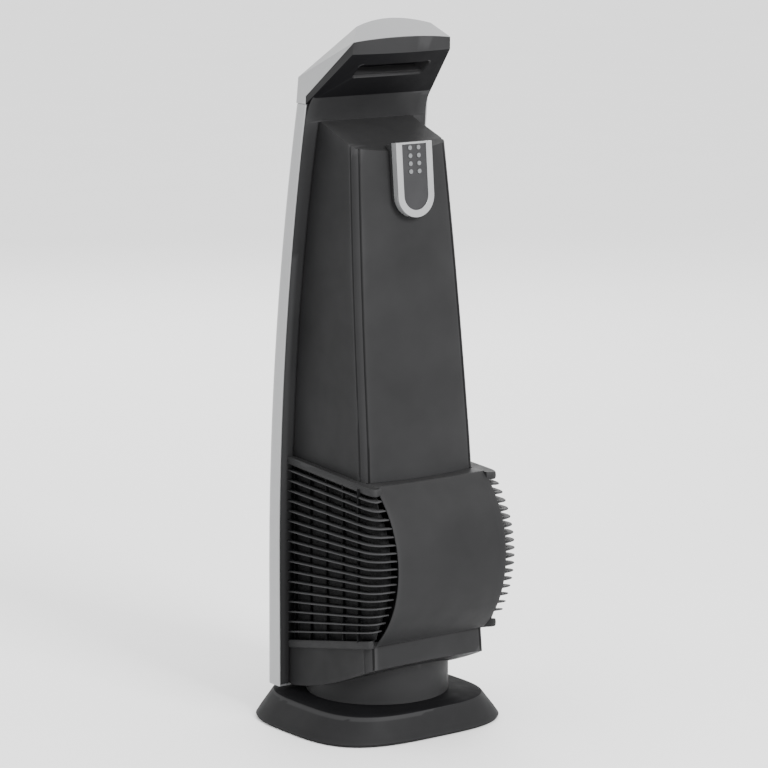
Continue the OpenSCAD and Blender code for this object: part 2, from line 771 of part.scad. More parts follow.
// Outline of the remote's face, with a narrow rim above it, drawn in by g
module face_outline(g) {
  r = remote_w / 2 - remote_rim - g;
  translate([0, remote_w / 2 - remote_l / 2]) circle(r = r);
  translate([-r, remote_w / 2 - remote_l / 2]) square([2 * r, remote_l - remote_w / 2 - top_rim - g]);
}

// Dovetail outline in (X, Y), grown by g
module rail_outline(g) polygon([[-7 - g, -remote_t - 2], [7 + g, -remote_t - 2],
  [7 + g, -remote_t - fit], [9 + g, -remote_t + 3 + g], [-9 - g, -remote_t + 3 + g], [-7 - g, -remote_t - fit]]);

module dock_block(g) along_y(-remote_t - dock_t - 8 - g, -remote_t - fit) u_outline(2.5 - g);

module remote_dock() color(charcoal) on_rear() {
  along_y(-remote_t - dock_t - 6, -remote_t - fit) u_outline(2.5);
  translate([0, 0, rail_low]) linear_extrude(rail_high - rail_low) rail_outline(0);
}

module remote_body() color(silver) on_rear() difference() {
  along_y(-remote_t, 0) u_outline(0);
  along_y(board_y, 1) face_outline(0);
  translate([0, 0, -60]) linear_extrude(60 + rail_high + fit) rail_outline(fit);
}

board_y = -5.9;
key_spots = [for (k = [0:3], s = [-1, 1]) [s * 6.5, 39.6 - 9.8 * k]];

module remote_face() color([0.06, 0.06, 0.07]) on_rear() difference() {
  along_y(-2.6, -0.8) face_outline(0.1);
  for (p = key_spots) translate([p.x, -5, p.y]) rotate([-90, 0, 0]) cylinder(r = key_r + fit, h = 8);
}

module remote_board() color([0.1, 0.35, 0.2]) on_rear() along_y(board_y, board_y + 1) face_outline(0.4);

module remote_battery() color(silver) on_rear() translate([0, board_y + 1, -21]) rotate([-90, 0, 0])
  cylinder(r = 8, h = 2.1);

module remote_key(n) color([0.4, 0.42, 0.44]) on_rear()
  translate([key_spots[n - 1].x, -4.2, key_spots[n - 1].y]) rotate([-90, 0, 0]) {
    cylinder(r = key_r, h = 4.3);
    cylinder(r = key_r + 0.7, h = 1.3);
  }

base_shell();
base_bottom_cover();
rubber_foot_ring();
cord_gland();
pivot_post();
fixed_gear();
thrust_washer();
pivot_nut();
base_screws();
swivel_hub();
oscillation_motor();
oscillation_pinion();
hub_screws();
rear_housing();
front_bezel();
front_grille();
air_duct();
hood_cap();
hood_liner();
control_panel();
display_window();
control_board();
panel_button(1);  // panel_button_1
panel_button(2);  // panel_button_2
panel_button(3);  // panel_button_3
panel_button(4);  // panel_button_4
panel_button(5);  // panel_button_5
blower_cover();
left_intake_grille();
right_intake_grille();
left_filter_frame();
right_filter_frame();
left_filter_media();
right_filter_media();
scroll_housing();
left_inlet_ring();
right_inlet_ring();
motor_body();
motor_bearings();
motor_bracket();
bracket_screws();
motor_shaft();
impeller();
capacitor();
power_board();
remote_dock();
remote_body();
remote_face();
remote_board();
remote_battery();
remote_key(1);  // remote_key_1
remote_key(2);  // remote_key_2
remote_key(3);  // remote_key_3
remote_key(4);  // remote_key_4
remote_key(5);  // remote_key_5
remote_key(6);  // remote_key_6
remote_key(7);  // remote_key_7
remote_key(8);  // remote_key_8
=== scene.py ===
import json
import math

import bmesh
import bpy
from mathutils import Matrix, Vector


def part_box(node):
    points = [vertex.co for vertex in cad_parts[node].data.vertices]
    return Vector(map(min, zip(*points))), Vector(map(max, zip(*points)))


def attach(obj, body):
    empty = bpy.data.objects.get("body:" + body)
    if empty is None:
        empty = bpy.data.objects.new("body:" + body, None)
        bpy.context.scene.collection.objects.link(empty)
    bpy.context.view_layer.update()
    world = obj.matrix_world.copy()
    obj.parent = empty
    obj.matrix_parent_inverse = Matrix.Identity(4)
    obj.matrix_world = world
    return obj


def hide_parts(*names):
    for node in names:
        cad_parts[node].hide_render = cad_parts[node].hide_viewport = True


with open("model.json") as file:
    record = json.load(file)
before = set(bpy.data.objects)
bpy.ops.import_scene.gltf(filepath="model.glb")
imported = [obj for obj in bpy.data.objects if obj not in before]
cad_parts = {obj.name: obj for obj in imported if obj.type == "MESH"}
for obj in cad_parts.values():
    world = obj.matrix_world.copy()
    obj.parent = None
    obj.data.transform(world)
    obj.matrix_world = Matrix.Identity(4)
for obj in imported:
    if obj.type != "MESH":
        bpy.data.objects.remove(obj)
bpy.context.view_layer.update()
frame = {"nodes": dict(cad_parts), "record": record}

# Every length below is in millimetres; MM turns it into Blender's metres.
MM = 0.001


def box_mm(node):
    low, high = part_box(node)
    return low / MM, high / MM


# ---- driving sizes, read from the frame where a node states them ----

BEZEL_LOW, BEZEL_HIGH = box_mm("front_bezel")
BASE_CORNER = box_mm("base_shell")[1]
COLLAR_CORNER = box_mm("swivel_hub")[1]
COVER_LOW_CORNER, COVER_HIGH_CORNER = box_mm("blower_cover")

SHELL_HALF = BEZEL_HIGH.x
SHELL_BOTTOM, SEAM_Z = BEZEL_LOW.z, BEZEL_HIGH.z
COLLAR_R = COLLAR_CORNER.x
COVER_LOW, COVER_HIGH = COVER_LOW_CORNER.z, COVER_HIGH_CORNER.z

# ---- the same form sizes as in the part's source ----

SIDE_TAPER = 15
TAPER_FROM, TAPER_RUN = 200, 590
RIM_Y0 = -61
RIM_LEAN = 41
LEAN_FROM, LEAN_RUN = 250, 540
BAND_DEPTH, BAND_NARROWING = 24, 4
FACE_STEP, FACE_BOW, FACE_INSET = 4, 7, 5
WALL = 2.2
COLUMN_BULGE = 10
ROOF_FRONT_Y, ROOF_FRONT_Z = -24, 767
ROOF_SLOPE = 28 / 73
UNDERSIDE_RISE, UNDERSIDE_FROM, UNDERSIDE_RUN = 48, -64, 163
DRUM_Y, DRUM_Z, DRUM_R = 26.3, 227.7, 132
DRUM_CROWN = 3
COVER_REACH = 88
COVER_WAIST, COVER_FLARE = 84, 1.5
LID_Y = 88
INTAKE_LOW, INTAKE_HIGH = COVER_LOW - 0.3, COVER_HIGH + 0.3
INTAKE_X0, INTAKE_Y0 = 97, RIM_Y0 + 1.2
BEND_X, BEND_Y = 115.6, 147.1  # where an intake bends round the rear corner at its widest height
BEND_X_DRAW, BEND_Y_DRAW = 13.5, 15.9  # how far that corner draws in one BEND_RUN from there
BEND_Z, BEND_RUN = 218, 92
SLATS = 17
SLAT_FRONT = (111.7, 322.5)
SLAT_BACK = (147.5, 312.6)
SLAT_RUN = 177
SLAT_DEPTH, SLAT_THICK = 12, 2
BAR_DEPTH = 16
BARS = ((92, 127, 10), (331.5, 319.3, 9.5))  # front height, rear height and thickness
RIB_SPOTS = [(86.5, -59), (89, -22), (92.5, 18), (96, 58), (99, 94)]
RIB_FOOT, RIB_FOOT_SLOPE = 97, 0.198
RIB_HEAD, RIB_HEAD_SLOPE = 336, 0.069
OUTLET_MARGIN = 30
OUTLET_LOW, OUTLET_HIGH = 78, 768
PANEL_PLACE = (Vector((0, -8, 855.5)), 43.5)
GRIP_PLACE = (Vector((0, 28, 832.7)), 38.9)


def half_at(z):
    """Half width of the tower at a height."""
    return SHELL_HALF - SIDE_TAPER * max(0, (z - TAPER_FROM) / TAPER_RUN) ** 1.5


def rim_at(z):
    """Y of the rear rim at a height."""
    return RIM_Y0 + RIM_LEAN * max(0, (z - LEAN_FROM) / LEAN_RUN) ** 2


def front_at(z):
    """Y of the silver band's front edge at a height."""
    return rim_at(z) - BAND_DEPTH + BAND_NARROWING * (z - TAPER_FROM) / TAPER_RUN


def face_y(z, x):
    """Y of the bowed front face."""
    return front_at(z) - FACE_STEP - FACE_BOW * (1 - (x / (half_at(z) - FACE_INSET)) ** 2)


def column_x(z):
    """Half width of the column at a height."""
    return 92 - 0.0235 * (z - 80) - 0.000055 * max(0, z - 450) ** 2


def column_y(z):
    """Y of the column's rear corners at a height; they lean more above the drum."""
    return 105.4 - 0.073 * (z - 94) - 0.0266 * max(0, z - 373)


def roof_z(y):
    """Height of the roof that slopes down to the rear."""
    return ROOF_FRONT_Z - (y - ROOF_FRONT_Y) * ROOF_SLOPE


def underside_z(y):
    """Height of the housing's lower edge, which sweeps up to the rear."""
    return SHELL_BOTTOM + 1 + UNDERSIDE_RISE * max(0, (y - UNDERSIDE_FROM) / UNDERSIDE_RUN) ** 1.5


def cover_half(z):
    """Half width of the drum cover at a height."""
    return COVER_WAIST + COVER_FLARE * ((z - DRUM_Z) / 100) ** 2


def drum_back(z, radius=DRUM_R):
    """Y of the drum's rear surface at a height, or of its axis above and below it."""
    return DRUM_Y + math.sqrt(max(0, radius ** 2 - (z - DRUM_Z) ** 2))


# ---- mesh helpers ----

MERGE_DISTANCE = 0.02 * MM
CUT_TOLERANCE = 1e-7


def lerp(a, b, t):
    return a + (b - a) * t


def steps(n):
    """n + 1 even steps from 0 to 1."""
    return [i / n for i in range(n + 1)]


def spread(a, b, n):
    return [lerp(a, b, t) for t in steps(n)]


def bezier(a, b, c, n):
    """n + 1 points on a quadratic curve."""
    return [a * (1 - t) ** 2 + b * (2 * t * (1 - t)) + c * t * t for t in steps(n)]


def mirrored(path):
    """A path on the +X side, followed by its mirror image back to the -X side."""
    return path + [Vector((-p.x, p.y, p.z)) for p in reversed(path)]


def circle(r, n):
    """n points (x, y) of a circle round the swivel axis."""
    return [(r * math.cos(i * math.tau / n), r * math.sin(i * math.tau / n)) for i in range(n)]


def level(outline, z):
    """An outline's (x, y) points at a height."""
    return [Vector((x, y, z)) for x, y in outline]


def link_object(name, data):
    obj = bpy.data.objects.new(name, data)
    bpy.context.scene.collection.objects.link(obj)
    return obj


def local_frame(place):
    """Origin and rotation of a place given as an origin and a tilt about X."""
    origin, tilt = place
    return origin, Matrix.Rotation(math.radians(tilt), 3, "X")


class Shape:
    """Collects faces in millimetres and turns them into one object."""

    def __init__(self):
        self.points = []
        self.faces = []

    def grid(self, rows, skip=None, close=False):
        start, n = len(self.points), len(rows[0])
        for row in rows:
            self.points.extend(Vector(p) for p in row)
        for j in range(len(rows) - 1):
            for i in range(n if close else n - 1):
                if skip and skip(j, i):
                    continue
                a, b = start + j * n + i, start + j * n + (i + 1) % n
                self.faces.append((a, b, b + n, a + n))
        return self

    def fan(self, ring):
        start = len(self.points)
        self.points.extend(Vector(p) for p in ring)
        self.faces.append(tuple(range(start, len(self.points))))
        return self

    def add(self, other):
        start = len(self.points)
        self.points += other.points
        self.faces += [tuple(start + k for k in face) for face in other.faces]
        return self

    def placed(self, place):
        """Moves all points from a tilted local frame into the tower's frame."""
        origin, turn = local_frame(place)
        self.points = [origin + turn @ p for p in self.points]
        return self

    def object(self, name, inside=None):
        """Makes the object; its faces look away from the inside point when one is given."""
        mesh = bpy.data.meshes.new(name)
        mesh.from_pydata([p * MM for p in self.points], [], self.faces)
        bm = bmesh.new()
        bm.from_mesh(mesh)
        bmesh.ops.remove_doubles(bm, verts=bm.verts, dist=MERGE_DISTANCE)
        bmesh.ops.dissolve_degenerate(bm, edges=bm.edges, dist=1e-6)
        bmesh.ops.recalc_face_normals(bm, faces=bm.faces)
        if inside is not None:
            centre = Vector(inside) * MM
            side = sum(f.normal.dot(f.calc_center_median() - centre) * f.calc_area() for f in bm.faces)
            if side < 0:
                bmesh.ops.reverse_faces(bm, faces=bm.faces)
        for f in bm.faces:
            f.smooth = True
        bm.to_mesh(mesh)
        bm.free()
        return link_object(name, mesh)


def thicken(obj, thickness, offset=-1, even=True):
    """Gives a skin its wall, inward unless an offset says otherwise."""
    m = obj.modifiers.new("wall", "SOLIDIFY")
    m.thickness = thickness * MM
    m.offset = offset
    m.use_even_offset = even
    m.use_quality_normals = True
    return obj


def soften(obj, width, segments=3, angle=28):
    """Rounds every edge sharper than the angle, as moulded parts are."""
    m = obj.modifiers.new("edges", "BEVEL")
    m.width = width * MM
    m.segments = segments
    m.limit_method = "ANGLE"
    m.angle_limit = math.radians(angle)
    m.harden_normals = True
    m.use_clamp_overlap = True
    return obj


def box_shape(low, high):
    """The six faces of a box, as a start for bevelled blocks."""
    s = Shape()
    x0, y0, z0 = low
    x1, y1, z1 = high
    ring = [(x0, y0), (x1, y0), (x1, y1), (x0, y1)]
    s.grid([[(x, y, z) for x, y in ring] for z in (z0, z1)], close=True)
    s.fan([(x, y, z0) for x, y in reversed(ring)])
    s.fan([(x, y, z1) for x, y in ring])
    return s


# ---- materials ----


class Nodes:
    """A material's node tree with short ways to add and link nodes."""

    def __init__(self, name):
        self.material = bpy.data.materials.new(name)
        self.material.use_nodes = True
        self.tree = self.material.node_tree
        self.shader = self.tree.nodes["Principled BSDF"]

    def add(self, kind, **settings):
        node = self.tree.nodes.new(kind)
        for key, value in settings.items():
            if key in node.inputs:
                node.inputs[key].default_value = value
            else:
                setattr(node, key, value)
        return node

    def link(self, output, socket):
        self.tree.links.new(output, socket)

    def noise(self, scale, detail=3.0, stretch=(1, 1, 1)):
        place = self.add("ShaderNodeTexCoord")
        mapping = self.add("ShaderNodeMapping")
        mapping.inputs["Scale"].default_value = stretch
        self.link(place.outputs["Object"], mapping.inputs["Vector"])
        noise = self.add("ShaderNodeTexNoise", Scale=scale, Detail=detail)
        self.link(mapping.outputs["Vector"], noise.inputs["Vector"])
        return noise.outputs["Fac"]

    def remap(self, value, low, high, start=0.3, end=0.7):
        node = self.add("ShaderNodeMapRange")
        for key, number in (("From Min", start), ("From Max", end), ("To Min", low), ("To Max", high)):
            node.inputs[key].default_value = number
        self.link(value, node.inputs["Value"])
        return node.outputs["Result"]

    def mix(self, factor, a, b):
        """Mixes two colours; each is a colour tuple or an output socket."""
        node = self.add("ShaderNodeMix", data_type="RGBA")
        self.link(factor, node.inputs["Factor"])
        for value, key in ((a, 6), (b, 7)):
            if isinstance(value, tuple):
                node.inputs[key].default_value = (*value, 1)
            else:
                self.link(value, node.inputs[key])
        return node.outputs[2]

    def bump(self, height, distance, strength=1.0, below=None):
        node = self.add("ShaderNodeBump", Strength=strength)
        node.inputs["Distance"].default_value = distance * MM
        self.link(height, node.inputs["Height"])
        if below is not None:
            self.link(below, node.inputs["Normal"])
        return node.outputs["Normal"]

    def edges(self, low=0.5, high=0.56):
        """0 on flat areas and 1 on convex edges."""
        geometry = self.add("ShaderNodeNewGeometry")
        return self.remap(geometry.outputs["Pointiness"], 0, 1, low, high)

    def dust(self, amount):
        """A mask of settled dust on faces that look up."""
        geometry = self.add("ShaderNodeNewGeometry")
        split = self.add("ShaderNodeSeparateXYZ")
        self.link(geometry.outputs["Normal"], split.inputs["Vector"])
        up = self.remap(split.outputs["Z"], 0, amount, 0.35, 1.0)
        multiply = self.add("ShaderNodeMath", operation="MULTIPLY")
        self.link(up, multiply.inputs[0])
        self.link(self.noise(60, 4), multiply.inputs[1])
        return multiply.outputs[0]


def moulded_plastic(name, colour, roughness, grain=0.05, grain_scale=1400,
                    edge_wear_and_highlight=0.25, dust=0.015, sheen=0.06):
    """Injection moulded plastic with a fine spark texture, faint mottling and lighter edges: rubbed wear,
    and a painted highlight where the edge amount is high.
    """
    n = Nodes(name)
    darker = tuple(c * 0.86 for c in colour)
    lighter = tuple(min(1, c * 1.12) for c in colour)
    base = n.mix(n.remap(n.noise(14, 4), 0, 1), darker, lighter)
    # Convex edges lighter: rubbed wear, and where the amount is high, as on the slats, a painted highlight.
    rubbed_and_highlit = tuple(min(1, c * (1 + 1.6 * edge_wear_and_highlight) + 0.02 * edge_wear_and_highlight) for c in colour)
    base = n.mix(n.edges(), base, rubbed_and_highlit)
    base = n.mix(n.dust(dust), base, (0.32, 0.31, 0.29))
    n.link(base, n.shader.inputs["Base Color"])
    n.link(n.remap(n.noise(40, 5), roughness - 0.05, roughness + 0.07), n.shader.inputs["Roughness"])
    wave = n.bump(n.noise(9, 2), 0.12, 0.3)
    n.link(n.bump(n.noise(grain_scale, 2), grain, 0.6, wave), n.shader.inputs["Normal"])
    n.shader.inputs["Specular IOR Level"].default_value = sheen
    return n.material


def screen_cloth(name, colour):
    """Fine woven screen: two sets of threads over dark gaps."""
    n = Nodes(name)
    place = n.add("ShaderNodeTexCoord")
    weave = None
    for axis in "YZ":
        threads = n.add("ShaderNodeTexWave", Scale=230, wave_type="BANDS", bands_direction=axis)
        n.link(place.outputs["Object"], threads.inputs["Vector"])
        if weave is None:
            weave = threads.outputs["Fac"]
        else:
            join = n.add("ShaderNodeMath", operation="MAXIMUM")
            n.link(weave, join.inputs[0])
            n.link(threads.outputs["Fac"], join.inputs[1])
            weave = join.outputs[0]
    base = n.mix(n.remap(weave, 0, 1, 0.3, 0.9), tuple(c * 0.3 for c in colour), colour)
    n.link(base, n.shader.inputs["Base Color"])
    n.link(n.remap(n.noise(300, 3), 0.7, 0.9), n.shader.inputs["Roughness"])
    n.link(n.bump(weave, 0.1, 0.6), n.shader.inputs["Normal"])
    n.shader.inputs["Specular IOR Level"].default_value = 0.2
    return n.material


def silver_paint(name, colour, roughness=0.36):
    """Silver paint on plastic: fine flakes under a thin satin coat."""
    n = Nodes(name)
    flakes = n.remap(n.noise(2600, 1), 0, 1, 0.35, 0.65)
    base = n.mix(flakes, tuple(c * 0.9 for c in colour), tuple(min(1, c * 1.08) for c in colour))
    base = n.mix(n.remap(n.noise(10, 3), 0, 0.35), base, tuple(c * 0.93 for c in colour))
    # Convex edges lighter: a painted highlight.
    base = n.mix(n.edges(0.52, 0.6), base, tuple(min(1, c * 1.15) for c in colour))
    n.link(base, n.shader.inputs["Base Color"])
    n.link(n.remap(n.noise(55, 4), roughness - 0.04, roughness + 0.06), n.shader.inputs["Roughness"])
    peel = n.bump(n.noise(320, 2), 0.03, 0.5)
    n.link(n.bump(n.noise(2600, 1), 0.01, 0.4, peel), n.shader.inputs["Normal"])
    n.shader.inputs["Metallic"].default_value = 0.55
    n.shader.inputs["Coat Weight"].default_value = 0.25
    n.shader.inputs["Coat Roughness"].default_value = 0.3
    return n.material


def polished(name, colour, roughness=0.12):
    """Glossy black plastic with faint smears."""
    n = Nodes(name)
    base = n.mix(n.remap(n.noise(30, 4), 0, 1), colour, tuple(c * 1.3 + 0.002 for c in colour))
    n.link(base, n.shader.inputs["Base Color"])
    n.link(n.remap(n.noise(45, 6), roughness, roughness + 0.14), n.shader.inputs["Roughness"])
    n.link(n.bump(n.noise(200, 2), 0.008, 0.4), n.shader.inputs["Normal"])
    n.shader.inputs["Specular IOR Level"].default_value = 0.3
    n.shader.inputs["Coat Weight"].default_value = 0.1
    n.shader.inputs["Coat Roughness"].default_value = 0.08
    return n.material


def brushed_metal(name, colour, roughness=0.3, stretch=(1, 1, 30)):
    """Metal with fine lines across the stretched axis."""
    n = Nodes(name)
    lines = n.noise(160, 4, stretch)
    base = n.mix(n.remap(lines, 0, 1), tuple(c * 0.82 for c in colour), colour)
    n.link(base, n.shader.inputs["Base Color"])
    n.link(n.remap(lines, roughness - 0.06, roughness + 0.12), n.shader.inputs["Roughness"])
    n.link(n.bump(lines, 0.02, 0.5), n.shader.inputs["Normal"])
    n.shader.inputs["Metallic"].default_value = 1.0
    return n.material


def board(name):
    """Green circuit board with faint copper tracks."""
    n = Nodes(name)
    place = n.add("ShaderNodeTexCoord")
    tracks = n.add("ShaderNodeTexVoronoi", Scale=220, feature="DISTANCE_TO_EDGE")
    n.link(place.outputs["Object"], tracks.inputs["Vector"])
    line = n.remap(tracks.outputs["Distance"], 1, 0, 0.02, 0.06)
    base = n.mix(line, (0.012, 0.07, 0.03), (0.03, 0.16, 0.07))
    n.link(base, n.shader.inputs["Base Color"])
    n.link(n.remap(n.noise(80, 3), 0.3, 0.45), n.shader.inputs["Roughness"])
    n.link(n.bump(line, 0.04, 0.6), n.shader.inputs["Normal"])
    return n.material


def pleated(name, colour):
    """Non-woven filter media: soft fibres over regular pleats."""
    n = Nodes(name)
    place = n.add("ShaderNodeTexCoord")
    pleats = n.add("ShaderNodeTexWave", Scale=40, wave_type="BANDS", bands_direction="Y")
    n.link(place.outputs["Object"], pleats.inputs["Vector"])
    # Pleat bands darker on one flank: painted shade in the folds.
    base = n.mix(n.remap(pleats.outputs["Fac"], 0, 1, 0, 1), tuple(c * 0.6 for c in colour), colour)
    n.link(base, n.shader.inputs["Base Color"])
    n.link(n.remap(n.noise(900, 4), 0.8, 1.0), n.shader.inputs["Roughness"])
    fold = n.bump(pleats.outputs["Fac"], 0.8, 0.8)
    n.link(n.bump(n.noise(900, 4), 0.1, 0.8, fold), n.shader.inputs["Normal"])
    n.shader.inputs["Sheen Weight"].default_value = 0.3
    return n.material


CHARCOAL = moulded_plastic("charcoal_shell", (0.0165, 0.0165, 0.017), 0.48)
BLACK = moulded_plastic("black_trim", (0.015, 0.015, 0.0155), 0.48, grain=0.03)
# Darker copy of the black trim for the slats: painted shade on the slat bodies, and strong edge lightening
# that paints a highlight on their noses.
SLAT = moulded_plastic("slat_painted_shade_and_highlight", (0.008, 0.008, 0.0085), 0.5, grain=0.02, edge_wear_and_highlight=0.9, dust=0.0)
INNER = moulded_plastic("inner_plastic", (0.006, 0.006, 0.0065), 0.6, edge_wear_and_highlight=0.1, dust=0.03, sheen=0.15)
# Darker copy of the charcoal for the hood's down-facing faces: painted shade.
UNDERSIDE = moulded_plastic("hood_underside_painted_shade", (0.004, 0.004, 0.0045), 0.65, edge_wear_and_highlight=0.15, dust=0.0, sheen=0.03)
# Darker copy for the base's up-facing deck: painted shade.
BASE_DECK_SHADE = moulded_plastic("base_deck_painted_shade", (0.0055, 0.0055, 0.006), 0.62, edge_wear_and_highlight=0.15, dust=0.0, sheen=0.02)
BASE_SKIN = moulded_plastic("base_skin", (0.014, 0.014, 0.0145), 0.52, edge_wear_and_highlight=0.25, dust=0.0, sheen=0.04)
# Darker copy of the inner plastic for the intake ribs: painted shade between the slats.
RIB = moulded_plastic("rib_painted_shade", (0.003, 0.003, 0.0033), 0.65, edge_wear_and_highlight=0.1, dust=0.0, sheen=0.03)
# Dark woven sheet material for behind the intake slats: painted shade.
SCREEN = screen_cloth("intake_shade_screen", (0.006, 0.006, 0.0065))
RUBBER = moulded_plastic("rubber", (0.012, 0.012, 0.012), 0.8, grain=0.08, grain_scale=700)
ACETAL = moulded_plastic("gear_plastic", (0.66, 0.63, 0.54), 0.35, grain=0.01, edge_wear_and_highlight=0.05, dust=0.02)
KEY = moulded_plastic("key_grey", (0.085, 0.087, 0.09), 0.5, grain=0.02, edge_wear_and_highlight=0.3)
SILVER = silver_paint("silver_paint", (0.27, 0.273, 0.277))
SILVER_TRIM = silver_paint("button_silver", (0.58, 0.585, 0.59), 0.3)
GLOSS = polished("gloss_black", (0.010, 0.010, 0.011), 0.3)
WINDOW = polished("window", (0.006, 0.008, 0.012), 0.06)
STEEL = brushed_metal("steel", (0.56, 0.56, 0.57))
MOTOR = brushed_metal("motor_steel", (0.4, 0.41, 0.42), 0.42, (30, 1, 1))
BOARD = board("circuit_board")
MEDIA = pleated("filter_fabric", (0.02, 0.02, 0.021))

SLOT_MATERIAL = {
    "charcoal_shell": CHARCOAL, "black_trim": BLACK, "inner_plastic": INNER, "rubber": RUBBER,
    "gear_plastic": ACETAL, "key_grey": KEY, "silver_paint": SILVER, "button_silver": SILVER_TRIM,
    "gloss_black": GLOSS, "window": WINDOW, "steel": STEEL, "motor_steel": MOTOR,
    "circuit_board": BOARD, "filter_fabric": MEDIA,
}


def dress_nodes():
    """Gives every CAD node the procedural material of its slot."""
    for part in frame["record"]["subparts"]:
        node = frame["nodes"][part["node"]]
        node.data.materials.clear()
        node.data.materials.append(SLOT_MATERIAL[part["material_slot"]])


def settle(obj, body, material, slot, *nodes):
    """Finishes a piece: its material, its body and the CAD nodes it stands for. The slot is not used."""
    obj.data.materials.append(material)
    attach(obj, body)
    if nodes:
        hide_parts(*nodes)
    return obj


def second_material(obj, material, chosen):
    """Gives the chosen faces a second, darker material: painted shade."""
    obj.data.materials.append(material)
    for face in obj.data.polygons:
        if chosen(face):
            face.material_index = 1


# ---- camera, light and floor ----

CAMERA_TARGET = Vector((0, 0, 0.440))
CAMERA_DISTANCE = 4.293
CAMERA_SIDE = math.radians(36.5)
CAMERA_RISE = math.radians(10.1)
CAMERA_LENS = 159.4
CAMERA_SHIFT = (0.0089, -0.0078)
LIGHT_TARGET = Vector((0, 0, 0.45))
WORLD_STRENGTH = 2.0
FLOOR_REACH = 30
LIGHTS = (
    # name, place, size and power
    ("key", (-0.1, 3.6, 2.4), 1.2, 230),
    ("side", (3.6, -0.6, 1.6), 1.4, 8),
    ("front", (-1.6, -3.0, 2.2), 2.0, 60),
)


def toward_camera(side, rise):
    return Vector((math.sin(side) * math.cos(rise), math.cos(side) * math.cos(rise), math.sin(rise)))


def aim(obj, place, target):
    obj.location = place
    obj.rotation_euler = (target - place).to_track_quat("-Z", "Y").to_euler()


def make_camera():
    data = bpy.data.cameras.new("camera")
    data.lens = CAMERA_LENS
    data.shift_x, data.shift_y = CAMERA_SHIFT
    data.clip_end = 200
    camera = link_object("camera", data)
    place = CAMERA_TARGET + toward_camera(CAMERA_SIDE, CAMERA_RISE) * CAMERA_DISTANCE
    aim(camera, place, CAMERA_TARGET)
    bpy.context.scene.camera = camera


def soft_light(name, place, size, power):
    data = bpy.data.lights.new(name, "AREA")
    data.shape = "SQUARE"
    data.size = size
    data.energy = power
    aim(link_object(name, data), Vector(place), LIGHT_TARGET)


def make_studio():
    world = bpy.data.worlds.new("studio")
    world.use_nodes = True
    background = world.node_tree.nodes["Background"]
    background.inputs["Color"].default_value = (1, 1, 1, 1)
    background.inputs["Strength"].default_value = WORLD_STRENGTH
    bpy.context.scene.world = world
    for light in LIGHTS:
        soft_light(*light)
    mesh = bpy.data.meshes.new("floor")
    signs = ((-1, -1), (1, -1), (1, 1), (-1, 1))
    mesh.from_pydata([(x * FLOOR_REACH, y * FLOOR_REACH, 0) for x, y in signs], [], [(0, 1, 2, 3)])
    floor = link_object("floor", mesh)
    n = Nodes("pale_floor")
    n.link(n.mix(n.noise(3, 3), (0.86, 0.86, 0.86), (0.89, 0.89, 0.89)), n.shader.inputs["Base Color"])
    n.shader.inputs["Roughness"].default_value = 0.75
    floor.data.materials.append(n.material)


# ---- rear housing ----

CORNER = 9
GROOVE = 2.4
RIM_CHANNEL = 3


def rim_outline(z):
    """The rim plate's rear side at a height, from its outer edge to the channel beside the column."""
    edge, x, rim = half_at(z) - WALL - 0.4, column_x(z), rim_at(z)
    floor = rim - RIM_CHANNEL
    return level([(edge, floor), (edge, rim), (lerp(edge, x, 0.5), rim),
                  (x + 3.8, rim), (x + 3, floor), (x - 0.6, floor)], z)


def column_outline(z):
    """Outline of the column on the +X side at a height, from the rim plate to the rear centre."""
    x, y, rim = column_x(z), column_y(z), rim_at(z)
    start, reach = y - CORNER, x - CORNER
    side = level([(x, s) for s in spread(rim - 3.1, start - 1, 18)], z)
    first = level([(x - GROOVE * 0.8, start), (x - GROOVE, start + 0.9),
                   (x - GROOVE * 0.8, start + 1.8), (x - 0.5, start + 2.8)], z)
    chamfer = bezier(first[-1], Vector((x - 1.6, y - 0.6, z)), Vector((reach + 3, y + 1, z)), 5)[1:]
    last = level([(reach + 2.2, y + 1.2 - GROOVE * 0.8), (reach + 1.4, y + 1.4 - GROOVE),
                  (reach + 0.7, y + 1.6 - GROOVE * 0.8)], z)
    rear = level([(t * reach, y + 2 + COLUMN_BULGE * (1 - t * t)) for t in spread(1, 0, 16)], z)
    return side + first + chamfer + last + rear


def height_on(i, surface, z):
    """Height at which outline point i of the column meets a surface given as a height over y."""
    for _ in range(14):
        z = surface(column_outline(z)[i].y)
    return z


def outline_rows(lows, highs, n):
    """Rows of the column's outline between two heights per point, on both sides."""
    return [mirrored([column_outline(lerp(low, high, t))[i]
                      for i, (low, high) in enumerate(zip(lows, highs))])
            for t in steps(n)]


def across(points):
    """Strips from points on the +X side to their mirror images."""
    return [[Vector((lerp(p.x, -p.x, u), p.y, p.z)) for u in steps(12)] for p in points]


def rearmost(points):
    """The points that each lie further to the rear than all before them."""
    return [p for k, p in enumerate(points) if k == 0 or p.y > max(q.y for q in points[:k])]


def lower_band_z(y):
    """Top edge of the housing's lower band, kept behind the intakes' bottom bars and the drum cover."""
    z0, z1, _ = BARS[0]
    return min(COVER_LOW + 5, z0 + (y - INTAKE_Y0) * (z1 - z0) / SLAT_RUN + 6)


def build_column():
    n = len(column_outline(400))
    lows = [height_on(i, underside_z, 60) for i in range(n)]
    highs = [height_on(i, roof_z, 750) for i in range(n)]
    s = Shape()
    s.grid(outline_rows(lows, [lower_band_z(p.y) for p in column_outline(INTAKE_LOW)], 8))
    s.grid(outline_rows([INTAKE_HIGH] * n, highs, 40))
    for heights in (lows, highs):
        s.grid(across(rearmost([column_outline(heights[i])[i] for i in range(n)])))
    obj = s.object("rear_column_shell", inside=(0, 20, 400))
    thicken(obj, WALL, even=False)
    soften(obj, 2.2, 4, 50)
    settle(obj, "tower", CHARCOAL, "charcoal_shell", "rear_housing")


